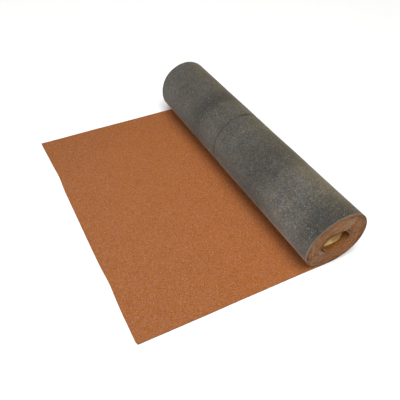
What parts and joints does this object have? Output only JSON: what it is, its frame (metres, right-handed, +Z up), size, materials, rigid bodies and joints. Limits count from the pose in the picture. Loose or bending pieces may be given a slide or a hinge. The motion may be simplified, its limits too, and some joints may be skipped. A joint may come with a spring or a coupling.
{
  "type": "roll of roofing felt",
  "caption": "Partly unrolled roll of mineral-surfaced roofing felt on a cardboard core, with its first stretch laid flat.",
  "frame": {"origin": "on the floor, at the middle of the sheet's width and halfway between the laid stretch's cut end and the roll's far side", "axes": "+Z up, +Y along the roll's axis, away from the end where the core's torn tongue stands out, +X from the laid stretch's cut edge towards the roll"},
  "size_m": [0.7676, 1.014, 0.2191],
  "materials": {
    "mineral_felt": "bitumen sheet, brown mineral granules on the inner face, dark grey sanded outer face, matte",
    "core_board": "spiral-wound kraft board, matte"
  },
  "bodies": {
    "root": {"felt_sheet": "mineral_felt", "core_tube": "core_board"}
  },
  "joints": []
}
